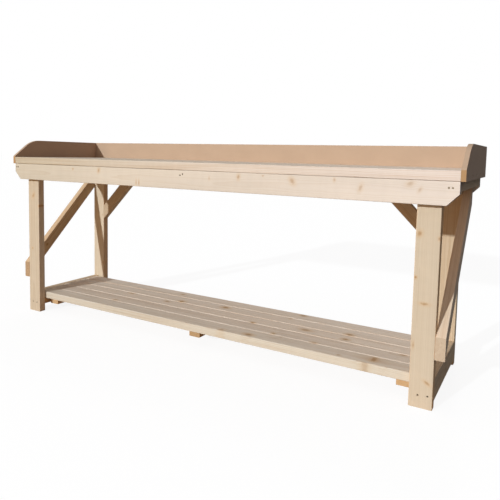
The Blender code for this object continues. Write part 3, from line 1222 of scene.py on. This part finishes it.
@dataclass
class Legs:
    """Four legs inside the aprons, screwed to them and to the bottom rails.

    A screw has its distance from the leg's outer edge, and its height or its distance from the top.
    """

    first_seed: int = 41
    knot_spacing: float = 0.24
    foot_screws: dict[str, Rows] = field(
        default_factory=lambda: {
            "front_left": ((0.0300, 0.0540), (0.0630, 0.0530)),
            "front_right": ((0.0181, 0.0521), (0.0542, 0.0498)),
            "back_left": ((0.0200, 0.0500), (0.0560, 0.0530)),
            "back_right": ((0.0190, 0.0530), (0.0570, 0.0490)),
        }
    )
    apron_screws: Rows = ((0.025, 0.035), (0.064, 0.060))
    finishes: dict[str, PineFinish] = field(default_factory=lambda: {"back_right": AMBER_PINE})
    tones: dict[str, float] = field(default_factory=lambda: {"front_left": 0.955})
    # Painted light and shade on the narrow sides: lighter on the front left leg, warmer on the front
    # right, darker and redder on the back left
    edge_tints: dict[str, Colour] = field(
        default_factory=lambda: {
            "front_left": (1.17, 1.15, 1.17),
            "front_right": (1.25, 1.02, 0.80),
            "back_left": (1.04, 0.875, 0.76),
        }
    )
    knots: dict[str, Rows] = field(
        default_factory=lambda: {
            "front_right": (
                (1.0820, 0.6710, 0.0100, 0.80, 1.2, 0.3),
                (1.1525, 0.6570, 0.0050, 0.70, 1.4, 0.0),
                (1.0745, 0.5030, 0.0055, 0.95, 1.2, 0.0),
                (1.1110, 0.4055, 0.0062, 0.75, 2.8, ACROSS),
                (1.0770, 0.2410, 0.0040, 0.60, 3.5, 0.0),
                (1.1345, 0.1030, 0.0065, 0.75, 2.2, 2.1),
            ),
            "front_left": (
                (-1.1145, 0.6870, 0.0105, 0.65, 1.6, 0.5),
                (-1.0685, 0.6280, 0.0060, 0.85, 1.3, 0.0),
                (-1.1249, 0.3747, 0.0060, 0.70, 1.2, 0.0),
            ),
        }
    )

    def timbers(self) -> list[Timber]:
        """Make the legs.

        Returns:
            The front legs and the back legs, each from left to right.
        """
        made = []
        for row, outward in (("front", -1.0), ("back", 1.0)):
            for side in Side:
                corner = f"{row}_{side.word}"
                leg = Timber(
                    f"{corner}_leg", self.first_seed + len(made), Lie.UPRIGHT.value,
                    finish=self.finishes.get(corner, HONEY_PINE),
                    tone=self.tones.get(corner, 1.0), edge_tint=self.edge_tints.get(corner, PLAIN),
                )
                low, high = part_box(leg.node)
                outer, inner = (low.y, high.y) if outward < 0.0 else (high.y, low.y)
                edge = low.x if side is Side.LEFT else high.x
                for inset, height in self.foot_screws[corner]:
                    leg.bore((edge - side.value * inset, outer, height), (0, outward, 0))
                for inset, drop in self.apron_screws:
                    leg.bore((edge - side.value * inset, inner, high.z - drop), (0, -outward, 0))
                if corner in self.knots:
                    leg.place_knots("xz", self.knots[corner])
                else:
                    leg.strew_knots(self.knot_spacing, WIDE_STOCK)
                made.append(leg)
        return made


@dataclass
class Rails:
    """The cross rails under the worktop and between the feet, with the ledgers beside them."""

    top: tuple[str, ...] = ("left_top_rail", "right_top_rail", "middle_top_rail")
    ledgers: tuple[str, ...] = ("left_shelf_ledger", "right_shelf_ledger")
    bottom: tuple[str, ...] = ("left_bottom_rail", "right_bottom_rail")
    knot_spacing: float = 0.26

    def timbers(self) -> list[Timber]:
        """Make the rails and ledgers.

        Returns:
            The top rails, the ledgers and the bottom rails.
        """
        made = []
        for lie, first_seed, finish, names in (
            (Lie.FLAT_ACROSS, 61, AMBER_PINE, self.top),
            (Lie.FLAT_ACROSS, 64, RESIN_PINE, self.ledgers),
            (Lie.EDGE_ACROSS, 71, AMBER_PINE, self.bottom),
        ):
            for seed, name in enumerate(names, first_seed):
                rail = Timber(name, seed, lie.value, finish)
                rail.strew_knots(self.knot_spacing, NARROW_STOCK)
                made.append(rail)
        return made


@dataclass
class Shelf:
    """Slats on the ledgers, tied together by flat bearers that are screwed on from below."""

    first_slat_seed: int = 82
    screw_inset: float = 0.022
    drift: Colour = (0.03, 0.03, 0.03)
    # Painted light on the slats' front and back sides: painted shade on the front slat, a painted
    # highlight along the gaps of the others
    front_edge_tint: Colour = (0.915, 0.948, 0.945)
    gap_edge_tint: Colour = (1.12, 1.12, 1.12)
    first_bearer_seed: int = 91
    bearer_tones: dict[str, float] = field(
        default_factory=lambda: {"left": 1.0, "middle": 0.76, "right": 1.0}
    )
    bearer_knot_spacing: float = 0.30
    bearer_screw_shift: float = 0.014
    slat_knots: tuple[Rows, ...] = (
        (
            (0.177, -0.231, 0.0112, 0.55, 1.6),
            (0.315, -0.217, 0.0137, 0.90, 1.7),
            (0.459, -0.162, 0.0075, 0.45),
            (0.761, -0.223, 0.0075, 0.50),
            (0.904, -0.189, 0.0275, 0.35, 2.0),
            (0.904, -0.189, 0.0112, 0.95, 1.5),
            (0.881, -0.234, 0.0075, 0.40, 2.4),
        ),
        (
            (-0.600, -0.143, 0.0100, 0.60, 1.6),
            (0.406, -0.139, 0.0088, 0.90, 1.3),
            (0.617, -0.150, 0.0125, 0.60, 1.3),
            (0.995, -0.067, 0.0125, 0.85, 1.3),
        ),
        (
            (-0.618, 0.022, 0.0137, 0.90, 1.6),
            (-0.340, -0.002, 0.0112, 0.65, 1.6),
            (0.247, -0.056, 0.0100, 0.90, 1.4),
            (0.516, -0.011, 0.0150, 0.70, 2.0),
            (0.722, -0.027, 0.0125, 0.90, 1.5),
        ),
        (
            (-0.273, 0.045, 0.0137, 0.95, 1.5),
            (-0.002, 0.084, 0.0150, 0.95, 1.6),
            (0.381, 0.106, 0.0088, 0.50),
            (0.718, 0.043, 0.0137, 0.95, 1.5),
        ),
        (
            (-0.354, 0.163, 0.0112, 0.50, 1.6),
            (0.416, 0.189, 0.0125, 0.85, 1.5),
        ),
    )

    def slats(self) -> list[Slat]:
        """Make the slats.

        Returns:
            The slats from front to back.
        """
        made = []
        for index, knots in enumerate(self.slat_knots):
            # The front slat gets a darker pine and painted shade on its sides, the others painted
            # highlights along the gaps
            finish, tint = SHELF_PINE_PAINTED_LIGHT, self.gap_edge_tint
            if index == 0:
                finish, tint = FRONT_SLAT_PINE_PAINTED_SHADE, self.front_edge_tint
            slat = Slat(
                f"shelf_slat_{index + 1}", self.first_slat_seed + index, Lie.FLAT_ALONG.value, finish,
                drift=self.drift, edge_tint=tint,
            )
            slat.place_knots("xy", knots)
            low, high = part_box(slat.node)
            for side in Side:
                ledger = middle_of(f"{side.word}_shelf_ledger").x
                for depth in (low.y + self.screw_inset, high.y - self.screw_inset):
                    slat.bore((ledger, depth, high.z), (0, 0, 1))
            made.append(slat)
        return made

    def timbers(self) -> list[Timber]:
        """Make the slats and their bearers.

        Returns:
            The slats, then the bearers from left to right.
        """
        slats = self.slats()
        bearers = []
        for seed, (name, tone) in enumerate(self.bearer_tones.items(), self.first_bearer_seed):
            bearer = Timber(f"shelf_bearer_{name}", seed, Lie.FLAT_ACROSS.value, RESIN_PINE, tone)
            bearer.strew_knots(self.bearer_knot_spacing, NARROW_STOCK)
            low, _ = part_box(bearer.node)
            for index, slat in enumerate(slats):
                shift = self.bearer_screw_shift if index % 2 else -self.bearer_screw_shift
                x = middle_of(bearer.node).x + shift
                bearer.bore((x, middle_of(slat.node).y, low.z), (0, 0, -1))
            bearers.append(bearer)
        return slats + bearers


@dataclass
class Braces:
    """Diagonals: one on the outside of each end frame and one at each back leg.

    A screw in an end brace has its place back and up from the middle of that end, and one in a knee
    brace its distance out from the brace's head and down from its top.
    """

    first_seed: int = 101
    end_knot_spacing: float = 0.26
    end_inset: float = 0.019
    end_screws: Rows = ((-0.0044, -0.0154), (0.0044, 0.0154))
    left_drift: Colour = (0.10, 0.20, 0.30)
    left_knots: Rows = ((-0.1556, 0.3755, 0.0110, 1.00), (0.1444, 0.6384, 0.0060, 0.75))
    knee_slope: float = math.radians(45.0)
    knee_knot_spacing: float = 0.22
    knee_head: float = 0.46
    knee_screws: Rows = ((0.030, 0.037), (-0.021, 0.0506))
    knee_tones: dict[Side, float] = field(default_factory=lambda: {Side.LEFT: 0.78, Side.RIGHT: 0.94})

    def end_brace(self, side: Side, seed: int) -> Timber:
        """Make the brace of an end frame, whose slope follows from the box that it fills.

        Args:
            side: the end of the bench.
            seed: seed of the timber's figure.

        Returns:
            The brace.
        """
        name = f"{side.word}_end_brace"
        low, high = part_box(name)
        run, rise = high.y - low.y, high.z - low.z
        slope = math.acos(NARROW_STOCK / math.hypot(run, rise)) - math.atan2(run, rise)
        grain = (0.0, math.cos(slope), math.sin(slope))
        axes = (grain, (0.0, -math.sin(slope), math.cos(slope)), (1.0, 0.0, 0.0))
        if side is Side.LEFT:
            face = low.x
            brace = Timber(name, seed, axes, TAWNY_PINE, drift=self.left_drift)
            brace.place_knots("yz", self.left_knots)
        else:
            face = high.x
            brace = Timber(name, seed, axes, ROSY_PINE)
            brace.strew_knots(self.end_knot_spacing, NARROW_STOCK)
        reach = run / 2.0 - self.end_inset
        for end in (-reach, reach):
            for back, up in self.end_screws:
                y = middle_of(name).y + end + back
                z = middle_of(name).z + end * math.tan(slope) + up
                brace.bore((face, y, z), (side.value, 0, 0))
        return brace

    def knee_brace(self, side: Side, seed: int) -> Timber:
        """Make the brace from a back leg to the worktop.

        Args:
            side: the end of the bench.
            seed: seed of the timber's figure.

        Returns:
            The brace.
        """
        name = f"{side.word}_knee_brace"
        low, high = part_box(name)
        cosine, sine = math.cos(self.knee_slope), math.sin(self.knee_slope)
        grain = (-side.value * cosine, 0.0, sine)
        axes = (grain, (side.value * sine, 0.0, cosine), (0.0, side.value, 0.0))
        knee = Timber(name, seed, axes, AMBER_PINE, self.knee_tones[side])
        knee.strew_knots(self.knee_knot_spacing, NARROW_STOCK)
        head = middle_of(name) + Vector(grain) * (high.z - low.z) * self.knee_head
        for out, drop in self.knee_screws:
            knee.bore((head.x + side.value * out, low.y, high.z - drop), (0, -1, 0))
        return knee

    def timbers(self) -> list[Timber]:
        """Make the braces.

        Returns:
            The end braces and the knee braces, each from left to right.
        """
        kinds = [(make, side) for make in (self.end_brace, self.knee_brace) for side in Side]
        return [make(side, seed) for seed, (make, side) in enumerate(kinds, self.first_seed)]


@dataclass
class Surround:
    """The MDF panels at the worktop's ends and back."""

    back_seed: int = 3
    first_side_seed: int = 5
    edge_height: float = 0.891
    side_screws: int = 5
    first_screw: float = 0.050
    pitch: float = 0.130
    corner_inset: float = 0.009
    corner_heights: Run = (0.935, 0.985)
    back_pitch: float = 0.340
    back_margin: float = 0.1

    def panels(self) -> list[Panel]:
        """Make the panels with their screws.

        Returns:
            The back panel and the side panels.
        """
        back = Panel("back_panel", self.back_seed, (0.0, 1.0, 0.0))
        low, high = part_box(back.node)
        count = int((high.x - low.x - self.back_margin) / self.back_pitch)
        for index in range(count + 1):
            x = (index - count / 2.0) * self.back_pitch
            back.bore((x, high.y, self.edge_height), (0, 1, 0))
        made = [back]
        for seed, (side, finish) in enumerate(zip(Side, (LEFT_MDF_PAINTED_WARM_SHADE, RIGHT_MDF_PAINTED_SKYLIGHT)), self.first_side_seed):
            panel = Panel(f"{side.word}_side_panel", seed, (1.0, 0.0, 0.0), finish)
            low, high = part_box(panel.node)
            face = low.x if side is Side.LEFT else high.x
            for index in range(self.side_screws):
                y = low.y + self.first_screw + index * self.pitch
                panel.bore((face, y, self.edge_height), (side.value, 0, 0))
            for height in self.corner_heights:
                panel.bore((face, high.y - self.corner_inset, height), (side.value, 0, 0))
            made.append(panel)
        return made


@dataclass
class Studio:
    """Floor, light and camera."""

    eye: Triple = (1.4819, -2.2696, 0.9509)
    yaw: float = 0.52244
    pitch: float = -0.08065
    roll: float = 0.02109
    sensor: float = 36.0
    lens: float = 37.242
    shift: Run = (0.0033, -0.1068)
    sun_way: Triple = (0.270, 1.0, -0.333)
    sun_strength: float = 2.80
    sun_colour: Colour = (0.85, 0.91, 0.935)
    sun_angle: float = math.radians(1.5)
    rear_way: Triple = (0.15, -1.0, -0.15)
    rear_strength: float = 1.25
    rear_angle: float = math.radians(8.0)
    zenith: Colour = (0.73, 0.74, 0.77)
    zenith_power: float = 2.0
    fill_way: Triple = (-0.45, -0.89, 0.0)
    fill_colour: Colour = (1.25, 0.74, 0.40)
    fill_power: float = 3.0
    floor_size: float = 60.0
    floor_colour: Colour = (0.80, 0.80, 0.80)
    warm_bounce: Colour = (0.60, 0.42, 0.27)
    side_bounce: Colour = (0.12, 0.13, 0.15)
    bounce_step: Run = (1.15, 1.25)
    floor_glow: float = 0.82
    glow_strength: float = 1.09

    def set_camera(self) -> None:
        """Place the camera at the photograph's viewing angle."""
        data = bpy.data.cameras.new("camera")
        data.sensor_width = self.sensor
        data.lens = self.lens
        data.shift_x, data.shift_y = self.shift
        camera = put_in_scene("camera", data)
        turn = Matrix.Rotation(self.yaw, 4, "Z") @ Matrix.Rotation(math.pi / 2.0 + self.pitch, 4, "X")
        camera.matrix_world = Matrix.Translation(self.eye) @ turn @ Matrix.Rotation(self.roll, 4, "Z")
        bpy.context.scene.camera = camera

    def hang_lamps(self) -> None:
        """Hang a key light at the front left and a weaker one behind."""
        for name, way, strength, angle, colour in (
            ("key", self.sun_way, self.sun_strength, self.sun_angle, self.sun_colour),
            ("rear", self.rear_way, self.rear_strength, self.rear_angle, PLAIN),
        ):
            data = bpy.data.lights.new(name, "SUN")
            data.energy = strength
            data.angle = angle
            data.color = colour
            lamp = put_in_scene(name, data)
            lamp.rotation_euler = Vector(way).to_track_quat("-Z", "Y").to_euler()

    def seen(self, sheet: NodeSheet) -> NodeSocket:
        """Tell the rays that show the background itself from those that light the bench.

        Args:
            sheet: the nodes of the world or of the floor.

        Returns:
            1 for rays that show the background, and 0 for the others.
        """
        path = sheet.node("ShaderNodeLightPath").outputs
        shown = sheet.math("MAXIMUM", path["Is Camera Ray"], path["Is Glossy Ray"])
        return sheet.math("MAXIMUM", shown, path["Is Transmission Ray"])

    def spread_sky(self) -> None:
        """Fill the room from above and from the front, with a white background."""
        world = bpy.data.worlds.new("studio")
        bpy.context.scene.world = world
        world.use_nodes = True
        sheet = NodeSheet(world.node_tree)
        sheet.tree.nodes.clear()
        way = sheet.node("ShaderNodeTexCoord").outputs["Generated"]
        _, _, up = sheet.split(way)
        overhead = sheet.math("MAXIMUM", up, 0.0)
        above = sheet.math("POWER", overhead, self.zenith_power)
        facing = sheet.math("MAXIMUM", sheet.vector("DOT_PRODUCT", way, self.fill_way), 0.0)
        ahead = sheet.math("POWER", facing, self.fill_power)
        ahead = sheet.times(ahead, sheet.math("SUBTRACT", 1.0, overhead))
        sky = sheet.blend("MIX", above, (0.0, 0.0, 0.0), self.zenith)
        sky = sheet.blend("ADD", ahead, sky, self.fill_colour)
        fill, white = (sheet.node("ShaderNodeBackground", colour).outputs[0] for colour in (sky, PLAIN))
        mixed = sheet.node("ShaderNodeMixShader", self.seen(sheet), fill, white)
        sheet.node("ShaderNodeOutputWorld", mixed.outputs[0])

    def lay_floor(self) -> None:
        """Lay a plain pale floor that keeps a faint shadow."""
        shape = bmesh.new()
        bmesh.ops.create_grid(shape, x_segments=1, y_segments=1, size=self.floor_size)
        floor = place_shape("floor", shape)
        material = bpy.data.materials.new("pale_floor")
        material.use_nodes = True
        sheet = NodeSheet(material.node_tree)
        sheet.tree.nodes.clear()
        shown = self.seen(sheet)
        along, _, _ = sheet.split(sheet.object_place())
        beyond = sheet.smooth(along, self.bounce_step)
        bounce = sheet.blend("MIX", beyond, self.warm_bounce, self.side_bounce)
        paint = sheet.node("ShaderNodeBsdfDiffuse", sheet.blend("MIX", shown, bounce, self.floor_colour))
        glow = sheet.node("ShaderNodeEmission", inputs={"Strength": self.glow_strength})
        share = sheet.times(shown, self.floor_glow)
        mixed = sheet.node("ShaderNodeMixShader", share, paint.outputs[0], glow.outputs[0])
        sheet.node("ShaderNodeOutputMaterial", mixed.outputs[0])
        floor.data.materials.append(material)

    def build(self) -> None:
        """Set up the whole studio."""
        bpy.context.scene.view_settings.view_transform = "Standard"
        self.set_camera()
        self.hang_lamps()
        self.spread_sky()
        self.lay_floor()


def dress(
    timbers: Iterable[Timber], panels: Iterable[Panel], groups: Groups, screw: Screw
) -> list[ScrewPlace]:
    """Make and dress the fine copies of all pieces.

    Args:
        timbers: the softwood pieces.
        panels: the MDF pieces.
        groups: the shared shader groups.
        screw: the screw that holds them.

    Returns:
        The places of all their screws.
    """
    places: list[ScrewPlace] = []
    softwood = (timbers, "planed", TIMBER_EASING, Slot.PINE)
    sheet_stock = (panels, "sawn", PANEL_EASING, Slot.MDF)
    for pieces, work, easing, slot in (softwood, sheet_stock):
        for piece in pieces:
            fine = piece.shape(f"{piece.node}_{work}", easing, screw)
            piece.mount(fine, piece.finish.material(piece, groups), slot)
            places += piece.screws
    return places


def main() -> None:
    """Build the looks of the bench."""
    logging.basicConfig(level=logging.INFO, format="%(name)s: %(message)s")
    Studio().build()
    groups = Groups(PineFigure().group(), KnotFigure().group(), FibreFigure().group())
    screw = Screw()
    timbers = [
        timber
        for assembly in (Worktop(), Aprons(), Legs(), Rails(), Shelf(), Braces())
        for timber in assembly.timbers()
    ]
    places = dress(timbers, Surround().panels(), groups, screw)
    heads = screw.set_heads(places, ScrewFinish().material())
    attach(heads, BODY)
    LOG.info("%s: %d heads", heads.name, len(places))


if __name__ == "__main__":
    main()
